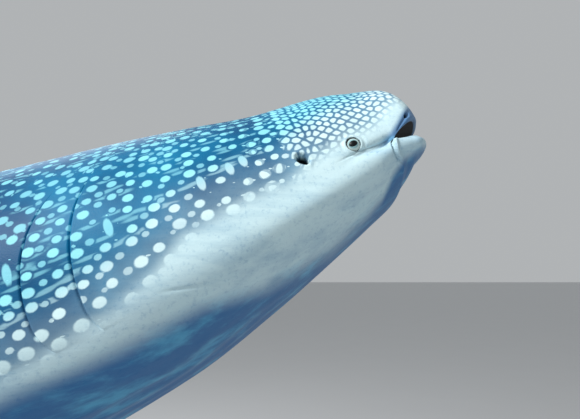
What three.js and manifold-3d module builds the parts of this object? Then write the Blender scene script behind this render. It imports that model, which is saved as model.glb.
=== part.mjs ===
// A life-size whale shark, swimming nose-up, carried by two posts on a flat display base.
// Millimetres, +Z up. The head points along +X and the right flank faces -Y.
// The origin is at the centre of the base's underside.

import * as THREE from 'three';
import { mergeVertices } from 'three/addons/utils/BufferGeometryUtils.js';
import Module from 'manifold-3d';

const wasm = await Module();
wasm.setup();

// Driving dimensions. Body places are in percent of the total length, snout tip at s = 0.
const totalLength = 8000;
const unit = totalLength / 100;
const noseUp = THREE.MathUtils.degToRad(25);
const snoutPlace = new THREE.Vector3(2560, 0, 4050);
const tailSwing = 5.5;
const tailSwingStart = 36;
const gap = 0.3 / unit;
const skinGap = 0.6 / unit;

// Body outline: place along the body, half width, height of the back, height of the belly, and the
// level of the widest line, which on the head is the line between the lips.
const stations = [
  [0.6, 5.4, 1.75, -1.55, -0.87],
  [2, 6.55, 2.47, -2.83, -0.97],
  [4, 6.9, 3.34, -3.55, -1.33],
  [7, 7.37, 3.78, -4.48, -1.67],
  [10, 7.77, 4.56, -5.31, -1.99],
  [14.5, 8.22, 5.55, -6.3, -2.2],
  [20, 8.31, 6.45, -6.81, -1.91],
  [27, 8.0, 7.2, -7.2, -1.43],
  [35, 7.4, 7.6, -7.2, -1.13],
  [43, 6.6, 7.5, -6.7, -0.88],
  [50, 5.7, 6.6, -5.7, -0.66],
  [58, 4.5, 5.2, -4.3, -0.4],
  [65, 3.4, 4.2, -3.2, -0.17],
  [72, 2.5, 3.2, -2.4, -0.11],
  [77, 1.9, 2.6, -2.0, -0.11],
  [80, 1.2, 2.5, -1.9, -0.1],
  [84, 0.35, 1.6, -1.3, -0.1],
];
const bodyEnd = stations[stations.length - 1][0];
const squareness = 2.1;

// The snout is rounded up to a place in plan and up to another in profile.
const snoutRound = { plan: 2.0, planPower: 0.5, profile: 1.6, profilePower: 0.4, tip: 0.004 };

// The mouth: its corners, half the gap between the lips at the front, how far the lower jaw sits
// behind the snout, and the hollow inside.
const mouth = {
  corner: 2.84,
  open: 0.42,
  jawBack: 0.1,
  jawEnd: 4,
  hollowFrom: 0.5,
  depth: 6.6,
  roof: 0.9,
  halfWidth: 4.6,
};

const nodeEnds = { head: 12.6, gills: 21.4, trunkFront: 43, trunkRear: 62, stalk: 77 };

// Lengthwise ridges: where each starts and ends, its angle above the flank line there, its height.
const ridges = [
  { from: 10, to: 43, angleFrom: 90, angleTo: 90, height: 0.2 },
  { from: 15, to: 66, angleFrom: 66, angleTo: 60, height: 0.16 },
  { from: 15, to: 70, angleFrom: 46, angleTo: 38, height: 0.18 },
  { from: 17, to: 79, angleFrom: 27, angleTo: 3, height: 0.24, keel: 0.75, keelAt: 74, keelSpan: 5 },
];
const ridgeHalfWidth = 5;
const ridgeFade = 6;

const eye = { s: 4.38, angle: 7, radius: 0.31, sunk: 0.2 };
const spiracle = { s: 6.3, angle: 11.2, length: 0.42, height: 0.32, depth: 0.35 };
// Gill slits bow forward above and below the level where they lie furthest back.
const gillSlits = {
  places: [14.68, 16.36, 17.95, 19.4, 20.7],
  bow: [1.1, 1.6, 1.5, 1.35, 1.1],
  top: [35, 34, 33, 30, 26],
  bottom: [-12, -12, -11, -9, -5],
  level: 3,
  bowSpan: 31,
  halfWidth: 0.09,
  depth: 0.4,
  proud: 0.5,
};

// Fins: base start along the body, angle round it, how far the fin plane leans from straight out,
// and the planform. Tip, rear tip and curve handles are measured back from the base start and out.
const fins = {
  dorsal_fin_first: {
    s: 43.5, angle: 90, out: 90, base: 9, tip: [9.6, 8.6], rear: [12.2, 0.9],
    front: [3.4, 6.9], back: [8.6, 3.6], thick: 0.62, sink: 2.2, drop: 1.35,
  },
  dorsal_fin_second: {
    s: 64.5, angle: 90, out: 90, base: 4, tip: [4.8, 3.4], rear: [6.3, 0.5],
    front: [1.7, 2.8], back: [4.3, 1.4], thick: 0.3, sink: 1.2, drop: 0.55,
  },
  anal_fin: {
    s: 67, angle: -90, out: -90, base: 3.6, tip: [4.7, 3.3], rear: [5.8, 0.5],
    front: [1.6, 2.7], back: [4.0, 1.4], thick: 0.28, sink: 1.0, drop: 0.45,
  },
  pectoral_fin: {
    s: 20.6, angle: -38, out: -24, base: 6.6, tip: [11.4, 15.2], rear: [9.8, 2.3],
    front: [3.8, 9.4], back: [7.4, 7.6], thick: 0.5, sink: 2.6, drop: -0.2,
  },
  pelvic_fin: {
    s: 50, angle: -52, out: -38, base: 4, tip: [5.0, 4.8], rear: [6.9, 1.1],
    front: [1.6, 3.8], back: [5.0, 2.5], thick: 0.3, sink: 1.6, drop: 0.45,
  },
};
const lobes = {
  upper: {
    root: [75.4, 1.6], tip: [98.8, 18.6], front: [85.6, 10.6], fork: [84.6, -0.8],
    back: [88.6, 5.0], thick: 0.5,
  },
  lower: {
    root: [75.6, -1.2], tip: [86.8, -11.6], front: [80.2, -7.4], fork: [84.1, 0.1],
    back: [82.9, -5.2], thick: 0.42,
  },
};
const lobeParting = -0.3;
const thinEdge = 0.03;

// Display stand, in millimetres.
const base = { length: 3700, width: 2100, thick: 70, corner: 160, bevel: 8 };
const posts = [
  { name: 'front', s: 28, radius: 85, saddle: [620, 520] },
  { name: 'rear', s: 58.5, radius: 70, saddle: [520, 380] },
];
const saddleThick = 24;
const footRing = { radius: 190, thick: 36, bevel: 6 };
const clear = 0.4;
const roundSides = 20;
const shortestEdge = 0.02;

// A distance beyond the whole shark, for blocks that cut it.
const far = 30;

const rad = THREE.MathUtils.degToRad;
const lerp = THREE.MathUtils.lerp;
const clamp = THREE.MathUtils.clamp;
const smooth = (x, a, b) => THREE.MathUtils.smoothstep(x, a, b);

// A monotone cubic through one column of the stations.
function outlineCurve(column) {
  const x = stations.map((row) => row[0]);
  const y = stations.map((row) => row[column]);
  const slope = x.slice(1).map((v, i) => (y[i + 1] - y[i]) / (v - x[i]));
  const tangent = y.map((v, i) => {
    if (i === 0) return slope[0];
    if (i === y.length - 1) return slope[i - 1];
    if (slope[i - 1] * slope[i] <= 0) return 0;
    return (2 * slope[i - 1] * slope[i]) / (slope[i - 1] + slope[i]);
  });
  return (s) => {
    const at = clamp(s, x[0], x[x.length - 1]);
    const i = Math.min(x.findLastIndex((v) => v <= at), x.length - 2);
    const h = x[i + 1] - x[i];
    const t = (at - x[i]) / h;
    const start = (1 + 2 * t) * (1 - t) ** 2 * y[i] + t * (1 - t) ** 2 * h * tangent[i];
    return start + t * t * (3 - 2 * t) * y[i + 1] + t * t * (t - 1) * h * tangent[i + 1];
  };
}

const widthAlong = outlineCurve(1);
const backAlong = outlineCurve(2);
const bellyAlong = outlineCurve(3);
const level = outlineCurve(4);
const noseShare = (s, end, power) => (1 - (1 - clamp(s / end, 0, 1)) ** 2) ** power;

function ridgeHeight(s, angle) {
  let height = 0;
  for (const ridge of ridges) {
    const share = clamp((s - ridge.from) / (ridge.to - ridge.from), 0, 1);
    const centre = lerp(ridge.angleFrom, ridge.angleTo, share);
    const start = smooth(s, ridge.from, ridge.from + ridgeFade);
    const fade = start * (1 - smooth(s, ridge.to - ridgeFade, ridge.to));
    const keel = ridge.keel ? ridge.keel * Math.exp(-(((s - ridge.keelAt) / ridge.keelSpan) ** 2)) : 0;
    const spread = (angle - centre) / ridgeHalfWidth;
    height += (ridge.height * fade + keel) * Math.exp(-spread * spread);
  }
  return height;
}

// The angles of a cross-section's points: even steps, with a point on each ridge and one each side.
function sectionAngles(s) {
  const angles = [];
  const crests = ridges.slice(1).map((ridge) => {
    const share = clamp((s - ridge.from) / (ridge.to - ridge.from), 0, 1);
    return lerp(ridge.angleFrom, ridge.angleTo, share);
  }).reverse();
  const below = 7;
  for (let i = 0; i < below; i++) angles.push(lerp(-90, crests[0] - ridgeHalfWidth, i / below));
  for (const crest of crests) angles.push(crest - ridgeHalfWidth, crest, crest + ridgeHalfWidth);
  angles.push(lerp(crests[2] + ridgeHalfWidth, 90, 0.5), 90);
  return angles;
}

// One point of the skin, in percent. Angle 0 is the middle of the right flank, 90 the back.
function skinPoint(s, angle, grow = 0, forward = 0) {
  const place = Math.max(s + forward, 0);
  const a = rad(angle);
  const half = widthAlong(place) * noseShare(place, snoutRound.plan, snoutRound.planPower) + grow;
  const mid = level(place);
  const reach = Math.sin(a) > 0 ? backAlong(place) - mid : mid - bellyAlong(place);
  const height = reach * noseShare(place, snoutRound.profile, snoutRound.profilePower) + grow;
  const round = (v) => Math.sign(v) * Math.abs(v) ** (2 / squareness);
  const crest = 1 + ridgeHeight(place, angle) / Math.hypot(half, height);
  return new THREE.Vector3(-s, -half * round(Math.cos(a)) * crest, mid + height * round(Math.sin(a)) * crest);
}

const swing = (s) => tailSwing * Math.max((s - tailSwingStart) / (100 - tailSwingStart), 0) ** 2;

// From the straight body, in percent, to the banked shark on its stand, in millimetres.
function place(point) {
  const x = point.x * unit;
  const y = (point.y + swing(-point.x)) * unit;
  const z = point.z * unit;
  return new THREE.Vector3(
    snoutPlace.x + x * Math.cos(noseUp) - z * Math.sin(noseUp),
    snoutPlace.y + y,
    snoutPlace.z + x * Math.sin(noseUp) + z * Math.cos(noseUp),
  );
}

// A closed body through rings of points, its two ends capped by fans.
function loftRings(rings, placed = true) {
  const count = rings[0].length;
  const points = [];
  const index = [];
  const middle = (ring) => ring.reduce((sum, p) => sum.add(p), new THREE.Vector3()).divideScalar(count);
  for (const ring of [[middle(rings[0])], ...rings, [middle(rings[rings.length - 1])]]) {
    for (const p of ring) points.push(...(placed ? place(p) : p).toArray());
  }
  const at = (ring, i) => 1 + ring * count + (i % count);
  const last = 1 + rings.length * count;
  for (let i = 0; i < count; i++) {
    index.push(0, at(0, i + 1), at(0, i), last, at(rings.length - 1, i), at(rings.length - 1, i + 1));
    for (let r = 0; r < rings.length - 1; r++) {
      index.push(at(r, i), at(r, i + 1), at(r + 1, i + 1), at(r, i), at(r + 1, i + 1), at(r + 1, i));
    }
  }
  const geometry = new THREE.BufferGeometry();
  geometry.setAttribute('position', new THREE.Float32BufferAttribute(points, 3));
  geometry.setIndex(index);
  return facingOut(geometry);
}

// Turns a closed geometry inside out when its volume comes out negative.
function facingOut(geometry) {
  const p = geometry.getAttribute('position');
  const index = geometry.getIndex();
  const corner = [0, 1, 2].map(() => new THREE.Vector3());
  let volume = 0;
  for (let i = 0; i < index.count; i += 3) {
    corner.forEach((v, k) => v.fromBufferAttribute(p, index.getX(i + k)));
    volume += corner[0].dot(corner[1].cross(corner[2]));
  }
  if (volume < 0) {
    for (let i = 0; i < index.count; i += 3) {
      const second = index.getX(i + 1);
      index.setX(i + 1, index.getX(i + 2));
      index.setX(i + 2, second);
    }
  }
  return geometry;
}

function solidOf(geometry) {
  const bare = geometry.clone();
  bare.deleteAttribute('normal');
  bare.deleteAttribute('uv');
  const merged = mergeVertices(bare, 1e-3);
  return new wasm.Manifold(new wasm.Mesh({
    numProp: 3,
    vertProperties: new Float32Array(merged.getAttribute('position').array),
    triVerts: new Uint32Array(merged.getIndex().array),
  }));
}

// A cut solid as a geometry, its shortest edges closed up.
function geometryOf(solid) {
  const mesh = solid.getMesh();
  const cut = new THREE.BufferGeometry();
  cut.setAttribute('position', new THREE.BufferAttribute(new Float32Array(mesh.vertProperties), 3));
  cut.setIndex(new THREE.BufferAttribute(new Uint32Array(mesh.triVerts), 1));
  const geometry = mergeVertices(cut, shortestEdge);
  const corners = Array.from(geometry.getIndex().array);
  const kept = [];
  for (let i = 0; i < corners.length; i += 3) {
    const [a, b, c] = corners.slice(i, i + 3);
    if (a !== b && b !== c && c !== a) kept.push(a, b, c);
  }
  geometry.setIndex(kept);
  geometry.computeVertexNormals();
  return geometry;
}

// Rings of the whole section between two places along the body.
function bodyRings(from, to, steps, { grow = 0, forward = 0, bunch = 1 } = {}) {
  const rings = [];
  for (let i = 0; i <= steps; i++) {
    const s = steps > 0 ? lerp(from, to, (i / steps) ** bunch) : from;
    const right = sectionAngles(Math.max(s, 0)).map((angle) => skinPoint(s, angle, grow, forward));
    const left = right.slice(1, -1).reverse().map((p) => new THREE.Vector3(p.x, -p.y, p.z));
    rings.push([...right, ...left]);
  }
  return rings;
}

const lipPlaces = [0, 0.25, 0.5, 0.75, 1].map((share) => lerp(-1, mouth.corner, share));
const mouthPlaces = [...lipPlaces, 5, 8, nodeEnds.head + 1];

// Half the gap between the lips.
const gape = (s) => mouth.open * (1 - clamp(s / mouth.corner, 0, 1) ** 1.5) ** 0.65;

// Everything on one side of the mouth line, drawn in side view and taken across the head.
function mouthSide(offset, sign) {
  const rings = mouthPlaces.map((s) => {
    const z = level(s) + offset;
    return [[far, z], [-far, z], [-far, z + sign * far], [far, z + sign * far]]
      .map(([y, h]) => new THREE.Vector3(-s, y, h));
  });
  return solidOf(loftRings(rings));
}

// The parted lips: a low wedge right across the head that closes at the corners of the mouth.
function lipWedge() {
  const least = 0.03;
  const rings = lipPlaces.map((s) => {
    const half = gape(s) + least;
    const z = level(s);
    return [[far, z - half], [-far, z - half], [-far, z + half], [far, z + half]]
      .map(([y, h]) => new THREE.Vector3(-s, y, h));
  });
  return solidOf(loftRings(rings));
}

// The shallow hollow of the mouth behind the lips.
function mouthHollow() {
  const rings = [];
  const steps = 5;
  const around = 12;
  for (let i = 0; i <= steps; i++) {
    const s = lerp(mouth.hollowFrom, mouth.depth, i / steps);
    const swell = Math.sqrt(Math.max(1 - (2 * (i / steps) - 1) ** 2, 0.04));
    const ring = [];
    for (let k = 0; k < around; k++) {
      const a = ((k + 0.5) / around) * Math.PI * 2;
      const half = mouth.halfWidth * lerp(0.75, 1, swell);
      const z = level(s) + mouth.roof * swell * Math.sin(a);
      ring.push(new THREE.Vector3(-s, half * Math.cos(a), z));
    }
    rings.push(ring);
  }
  return solidOf(loftRings(rings));
}

// Outward direction of the skin in a cross-section, on the right side.
function skinOutward(s, angle) {
  const step = 1.5;
  const along = skinPoint(s, angle + step).sub(skinPoint(s, angle - step));
  return new THREE.Vector3(0, -along.z, along.y).normalize();
}

const mirrored = (point, side) => new THREE.Vector3(point.x, point.y * side, point.z);

function eyeGeometry(side, extra = 0) {
  const centre = skinPoint(eye.s, eye.angle).addScaledVector(skinOutward(eye.s, eye.angle), -eye.sunk);
  const ball = new THREE.SphereGeometry((eye.radius + extra) * unit, 14, 8);
  const at = place(mirrored(centre, side));
  return ball.translate(at.x, at.y, at.z);
}

function spiraclePit(side) {
  const at = place(mirrored(skinPoint(spiracle.s, spiracle.angle), side));
  const pit = new THREE.SphereGeometry(1, 10, 6);
  pit.scale(spiracle.height * unit, spiracle.depth * unit, spiracle.length * unit);
  pit.rotateY(-noseUp);
  return pit.translate(at.x, at.y, at.z);
}

// One gill slit: a thin curved blade that crosses the skin.
function gillBlade(number, side) {
  const steps = 4;
  const rings = [];
  for (let i = 0; i <= steps; i++) {
    const share = i / steps;
    const angle = lerp(gillSlits.bottom[number], gillSlits.top[number], share);
    const away = (angle - gillSlits.level) / gillSlits.bowSpan;
    const s = gillSlits.places[number] - gillSlits.bow[number] * away ** 2;
    const taper = Math.sqrt(Math.max(1 - (2 * share - 1) ** 2, 0.04));
    const out = skinOutward(s, angle);
    const skin = skinPoint(s, angle);
    const ring = [
      [-gillSlits.halfWidth * taper, gillSlits.proud],
      [gillSlits.halfWidth * taper, gillSlits.proud],
      [0, -gillSlits.depth * taper],
    ].map(([along, lift]) => {
      const p = skin.clone().addScaledVector(out, lift);
      p.x -= along;
      return mirrored(p, side);
    });
    rings.push(ring);
  }
  return solidOf(loftRings(rings));
}

const quadratic = (a, b, c, t) => lerp(lerp(a, b, t), lerp(b, c, t), t);

// Half the thickness of a fin's section at a share of its chord.
const finShape = (c) => 2.6 * Math.sqrt(c) * (1 - c) ** 1.1 * (1 - 0.25 * c);

// A ring round a fin between its front and back edge points, thick across the given direction.
function finRing(front, back, across, thick) {
  const shares = [0, 0.05, 0.2, 0.45, 0.75, 1];
  const upper = shares.map((c) => {
    const half = Math.max(thick * finShape(c), thinEdge * (c > 0 && c < 1 ? 1 : 0.6));
    return front.clone().lerp(back, c).addScaledVector(across, half);
  });
  const lower = shares.map((c) => {
    const half = Math.max(thick * finShape(c), thinEdge * (c > 0 && c < 1 ? 1 : 0.6));
    return front.clone().lerp(back, c).addScaledVector(across, -half);
  });
  return [...upper, ...lower.reverse()];
}

function finGeometry(fin, side = 1) {
  const anchor = skinPoint(fin.s, fin.angle);
  const lean = rad(fin.out);
  const out = new THREE.Vector3(0, -Math.cos(lean), Math.sin(lean));
  const across = new THREE.Vector3(0, Math.sin(lean), Math.cos(lean));
  const slope = new THREE.Vector3(-fin.base, 0, 0).addScaledVector(out, -fin.drop).normalize();
  const at = (back, up) => anchor.clone().addScaledVector(slope, back).addScaledVector(out, up);
  const rings = [
    finRing(at(0.1, -fin.sink), at(fin.base - 0.1, -fin.sink), across, fin.thick),
    finRing(at(0, 0), at(fin.base, 0), across, fin.thick),
    finRing(at(0.06, 0.3 * fin.rear[1]), at(fin.base + 0.2, 0.3 * fin.rear[1]), across, fin.thick),
  ];
  const steps = 7;
  for (let i = 0; i <= steps; i++) {
    const v = i / steps;
    const t = lerp(0.04, 0.985, v);
    const front = [0, 1].map((k) => quadratic(k === 0 ? 0 : 0.02, fin.front[k], fin.tip[k], t));
    const back = [0, 1].map((k) => quadratic(fin.rear[k], fin.back[k], fin.tip[k], v * 0.97));
    rings.push(finRing(at(...front), at(...back), across, fin.thick * (1 - 0.85 * v)));
  }
  return loftRings(rings.map((ring) => ring.map((p) => mirrored(p, side))));
}

function caudalLobe(lobe) {
  const across = new THREE.Vector3(0, 1, 0);
  const rings = [];
  const steps = 7;
  for (let i = 0; i <= steps; i++) {
    const v = i / steps;
    const front = [0, 1].map((k) => quadratic(lobe.root[k], lobe.front[k], lobe.tip[k], v * 0.99));
    const back = [0, 1].map((k) => quadratic(lobe.fork[k], lobe.back[k], lobe.tip[k], v * 0.96));
    const thick = lobe.thick * (1 - 0.8 * v);
    const edges = [front, back].map(([s, z]) => new THREE.Vector3(-s, 0, z));
    rings.push(finRing(edges[0], edges[1], across, thick));
  }
  return solidOf(loftRings(rings));
}

// Half of space above or below the line that parts the two lobes of the tail fin.
function lobeSide(sign) {
  const rings = [nodeEnds.trunkRear, 100 + far].map((s) => [[far, 0], [-far, 0], [-far, far], [far, far]]
    .map(([y, h]) => new THREE.Vector3(-s, y, lobeParting + sign * (gap / 2 + h))));
  return solidOf(loftRings(rings));
}

// All that lies behind the end of the tail stalk.
function behindStalk() {
  const corners = [[far, -far], [-far, -far], [-far, far], [far, far]];
  const rings = [nodeEnds.stalk + gap, 100 + far].map((s) => (
    corners.map(([y, z]) => new THREE.Vector3(-s, y, z))
  ));
  return solidOf(loftRings(rings));
}

const part = new THREE.Group();

function addMesh(name, geometry, material) {
  const mesh = new THREE.Mesh(geometry, material());
  mesh.name = name;
  part.add(mesh);
}

const hide = () => new THREE.MeshStandardMaterial({ color: 0x2f5560, roughness: 0.55, metalness: 0 });
const paleHide = () => new THREE.MeshStandardMaterial({ color: 0xbfcfd0, roughness: 0.55, metalness: 0 });
const eyeGlass = () => new THREE.MeshStandardMaterial({ color: 0x10181c, roughness: 0.1, metalness: 0 });
const basePaint = () => new THREE.MeshStandardMaterial({ color: 0x3b4044, roughness: 0.5, metalness: 0 });
const postSteel = () => new THREE.MeshStandardMaterial({ color: 0x9a9ea2, roughness: 0.35, metalness: 1 });
const saddlePad = () => new THREE.MeshStandardMaterial({ color: 0x2a2c2e, roughness: 0.8, metalness: 0 });

function buildHead() {
  const bunch = 1.9;
  const upper = solidOf(loftRings(bodyRings(snoutRound.tip, nodeEnds.head, 10, { bunch })));
  const rings = [];
  const jawSteps = 8;
  for (let i = 0; i < jawSteps; i++) {
    const s = lerp(snoutRound.tip + mouth.jawBack, mouth.jawEnd, (i / jawSteps) ** bunch);
    const forward = -mouth.jawBack * (1 - smooth(s, mouth.jawBack, mouth.corner));
    rings.push(...bodyRings(s, s, 0, { forward }));
  }
  rings.push(...bodyRings(mouth.jawEnd, nodeEnds.head, 6));
  const lower = solidOf(loftRings(rings));
  const hollow = mouthHollow().add(lipWedge());
  let head = upper.intersect(mouthSide(gap / 2, 1)).subtract(hollow);
  const jaw = lower.intersect(mouthSide(-gap / 2, -1)).subtract(hollow);
  for (const side of [1, -1]) {
    head = head.subtract(solidOf(eyeGeometry(side, gap))).subtract(solidOf(spiraclePit(side)));
    addMesh(side > 0 ? 'eye_right' : 'eye_left', eyeGeometry(side), eyeGlass);
  }
  addMesh('head', geometryOf(head), hide);
  addMesh('lower_jaw', geometryOf(jaw), paleHide);
}

function buildTrunk() {
  let gills = solidOf(loftRings(bodyRings(nodeEnds.head + gap, nodeEnds.gills, 5)));
  for (const side of [1, -1]) {
    gillSlits.places.forEach((_, number) => {
      gills = gills.subtract(gillBlade(number, side));
    });
  }
  addMesh('gill_region', geometryOf(gills), hide);
  addMesh('trunk_front', loftRings(bodyRings(nodeEnds.gills + gap, nodeEnds.trunkFront, 6)), hide);
  addMesh('trunk_rear', loftRings(bodyRings(nodeEnds.trunkFront + gap, nodeEnds.trunkRear, 6)), hide);
  addMesh('tail_stalk', loftRings(bodyRings(nodeEnds.trunkRear + gap, nodeEnds.stalk, 6)), hide);
}

function buildFins(body) {
  for (const name of ['dorsal_fin_first', 'dorsal_fin_second', 'anal_fin']) {
    addMesh(name, geometryOf(solidOf(finGeometry(fins[name])).subtract(body)), hide);
  }
  for (const name of ['pectoral_fin', 'pelvic_fin']) {
    for (const [word, side] of [['right', 1], ['left', -1]]) {
      addMesh(`${name}_${word}`, geometryOf(solidOf(finGeometry(fins[name], side)).subtract(body)), hide);
    }
  }
  const root = solidOf(loftRings(bodyRings(nodeEnds.stalk + gap, bodyEnd, 4)));
  const blades = caudalLobe(lobes.upper).add(caudalLobe(lobes.lower));
  const tail = root.add(blades.intersect(behindStalk()));
  addMesh('caudal_fin_upper', geometryOf(tail.intersect(lobeSide(1))), hide);
  addMesh('caudal_fin_lower', geometryOf(tail.intersect(lobeSide(-1))), hide);
}

// A rounded flat plate lying on z = 0.
function plate(length, width, thick, corner, bevel) {
  const shape = new THREE.Shape();
  const x = length / 2 - bevel;
  const y = width / 2 - bevel;
  shape.moveTo(-x + corner, -y);
  shape.lineTo(x - corner, -y);
  shape.absarc(x - corner, -y + corner, corner, -Math.PI / 2, 0);
  shape.absarc(x - corner, y - corner, corner, 0, Math.PI / 2);
  shape.absarc(-x + corner, y - corner, corner, Math.PI / 2, Math.PI);
  shape.absarc(-x + corner, -y + corner, corner, Math.PI, Math.PI * 1.5);
  const depth = thick - 2 * bevel;
  const geometry = new THREE.ExtrudeGeometry(shape, {
    depth, bevelEnabled: true, bevelThickness: bevel, bevelSize: bevel, bevelSegments: 1, curveSegments: 4,
  });
  return geometry.translate(0, 0, bevel);
}

function column(x, y, radius, from, to) {
  const geometry = new THREE.CylinderGeometry(radius, radius, to - from, roundSides);
  return geometry.rotateX(Math.PI / 2).translate(x, y, (from + to) / 2);
}

function ringGeometry(inner, outer, thick, bevel) {
  const outline = [
    [inner, 0], [outer, 0], [outer, thick - bevel], [outer - bevel, thick], [inner, thick], [inner, 0],
  ];
  const points = outline.map(([r, h]) => new THREE.Vector2(r, h));
  return new THREE.LatheGeometry(points, roundSides).rotateX(Math.PI / 2);
}

function buildStand(body) {
  addMesh('stand_base', plate(base.length, base.width, base.thick, base.corner, base.bevel), basePaint);
  const shell = solidOf(loftRings(bodyRings(20, 70, 18, { grow: saddleThick / unit })));
  const clearOfShell = solidOf(loftRings(bodyRings(20, 70, 18, { grow: (saddleThick + clear) / unit })));
  for (const post of posts) {
    const belly = place(skinPoint(post.s, -90));
    const [long, wide] = post.saddle;
    const saddleBlock = plate(long, wide, 900, 90, 5).translate(belly.x, belly.y, belly.z - 700);
    const saddle = shell.subtract(body).intersect(solidOf(saddleBlock));
    addMesh(`stand_saddle_${post.name}`, geometryOf(saddle), saddlePad);
    const foot = base.thick + clear;
    const rod = solidOf(column(belly.x, belly.y, post.radius, foot, belly.z + 200)).subtract(clearOfShell);
    addMesh(`stand_post_${post.name}`, geometryOf(rod), postSteel);
    const ring = ringGeometry(post.radius + clear, footRing.radius, footRing.thick, footRing.bevel);
    addMesh(`stand_foot_${post.name}`, ring.translate(belly.x, belly.y, foot), basePaint);
  }
}

const wholeBody = solidOf(loftRings(bodyRings(10, nodeEnds.stalk + gap, 60, { grow: skinGap })));

buildHead();
buildTrunk();
buildFins(wholeBody);
buildStand(wholeBody);

export default part;
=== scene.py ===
import math

import bpy
import numpy as np
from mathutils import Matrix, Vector
from mathutils.kdtree import KDTree


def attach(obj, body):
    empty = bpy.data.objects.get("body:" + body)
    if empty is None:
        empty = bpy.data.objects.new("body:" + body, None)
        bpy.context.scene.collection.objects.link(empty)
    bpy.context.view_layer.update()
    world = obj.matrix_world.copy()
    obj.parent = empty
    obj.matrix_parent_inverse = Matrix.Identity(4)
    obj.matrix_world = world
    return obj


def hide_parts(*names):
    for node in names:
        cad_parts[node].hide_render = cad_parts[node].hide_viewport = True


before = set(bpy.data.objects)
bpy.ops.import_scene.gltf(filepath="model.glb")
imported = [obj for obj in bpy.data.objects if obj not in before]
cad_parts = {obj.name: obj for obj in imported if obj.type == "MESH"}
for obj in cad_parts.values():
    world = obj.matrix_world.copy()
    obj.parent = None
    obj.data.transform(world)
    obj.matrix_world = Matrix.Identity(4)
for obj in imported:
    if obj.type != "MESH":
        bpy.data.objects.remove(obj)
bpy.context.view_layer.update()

# Places on the shark are hundredths of its length: s runs back from the snout, y to its left,
# z up, all on the straight and level body. An angle goes round a section, 0 at the middle of the
# right flank, 90 on the back. Four numbers "from, full, fading, gone" say where a form begins,
# is whole, starts to fade and has ended.
shark = {
    "length": 8.0,
    "noseUp": 25.0,
    "snout": (2.56, 0.0, 4.05),
    "tailSwing": 5.5,
    "tailSwingStart": 36.0,
    "squareness": 2.1,
    "planEnd": 2.0,       # the snout is round in plan up to here
    "planPower": 0.5,
    "heightEnd": 1.6,     # and in profile up to here
    "heightPower": 0.4,
    "headEnd": 8.0,
    "tailEnd": 84.0,
}
# place, half width, back, belly, widest line
outline = np.array([
    (0.6, 5.4, 1.75, -1.55, -0.87),
    (2, 6.55, 2.47, -2.83, -0.97),
    (4, 6.9, 3.34, -3.55, -1.33),
    (7, 7.37, 3.78, -4.48, -1.67),
    (10, 7.77, 4.56, -5.31, -1.99),
    (14.5, 8.22, 5.55, -6.3, -2.2),
    (20, 8.31, 6.45, -6.81, -1.91),
    (27, 8.0, 7.2, -7.2, -1.43),
    (35, 7.4, 7.6, -7.2, -1.13),
    (43, 6.6, 7.5, -6.7, -0.88),
    (50, 5.7, 6.6, -5.7, -0.66),
    (58, 4.5, 5.2, -4.3, -0.4),
    (65, 3.4, 4.2, -3.2, -0.17),
    (72, 2.5, 3.2, -2.4, -0.11),
    (77, 1.9, 2.6, -2.0, -0.11),
    (80, 1.2, 2.5, -1.9, -0.1),
    (84, 0.35, 1.6, -1.3, -0.1),
])
unit = shark["length"] / 100


def smooth(x, a, b):
    t = np.clip((x - a) / (b - a), 0, 1)
    return t * t * (3 - 2 * t)


def between(x, start, full, fading, gone):
    return smooth(x, start, full) * (1 - smooth(x, fading, gone))


def mix(a, b, t):
    return a + (b - a) * t


def bell(x, width):
    return np.exp(-(x / width) ** 2)


# one smooth curve through a column of the outline, without overshoot
def alongBody(column):
    x = outline[:, 0]
    y = outline[:, column]
    slope = np.diff(y) / np.diff(x)
    tangent = np.zeros_like(y)
    tangent[0] = slope[0]
    tangent[-1] = slope[-1]
    same = slope[:-1] * slope[1:] > 0
    total = np.where(same, slope[:-1] + slope[1:], 1)
    tangent[1:-1] = np.where(same, 2 * slope[:-1] * slope[1:] / total, 0)

    def curve(s):
        at = np.clip(s, x[0], x[-1])
        i = np.clip(np.searchsorted(x, at, side="right") - 1, 0, len(x) - 2)
        h = x[i + 1] - x[i]
        t = (at - x[i]) / h
        start = (1 + 2 * t) * (1 - t) ** 2 * y[i] + t * (1 - t) ** 2 * h * tangent[i]
        return start + t * t * (3 - 2 * t) * y[i + 1] + t * t * (t - 1) * h * tangent[i + 1]

    return curve


widthAlong = alongBody(1)
backAlong = alongBody(2)
bellyAlong = alongBody(3)
level = alongBody(4)    # on the head it is the mouth line

mouth = {
    "corner": 2.84,       # place of the corners
    "open": 0.42,         # half the gap between the lips at the front
    "gapShape": (1.5, 0.65),
    "lip": 0.13,          # radius of the rolled upper lip
    "lowerLip": 0.24,     # and of the fuller lower one
    "thinLip": 0.02,      # share of it that is left at the corners
    "jawBack": 0.25,      # how far the lower jaw's outline sits behind the upper one
    "depth": 6.6,
    "roof": 0.7,
    "lipRoll": 0.85,      # half turns that a lip rolls inwards
    "aim": 0.45,          # how much the lips roll towards the middle
    "liningWidth": 0.62,
    "liningBow": 1.2,
    "liningGap": 0.05,
}


def noseShare(s, end, power):
    return (1 - (1 - np.clip(s / end, 0, 1)) ** 2) ** power


def halfWidth(s):
    return widthAlong(s) * noseShare(s, shark["planEnd"], shark["planPower"])


def riseAbove(s):
    return (backAlong(s) - level(s)) * noseShare(s, shark["heightEnd"], shark["heightPower"])


def fallBelow(s):
    return (level(s) - bellyAlong(s)) * noseShare(s, shark["heightEnd"], shark["heightPower"])


# half the gap between the lips
def gape(s):
    share = np.clip(s / mouth["corner"], 0, 1)
    bend, close = mouth["gapShape"]
    return mouth["open"] * (1 - share ** bend) ** close


# the lips are rolled, most at the front
def lipRadius(s, lower):
    return mouth["lowerLip" if lower else "lip"] * np.clip(4 * (1 - s / mouth["corner"]), mouth["thinLip"], 1)


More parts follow.
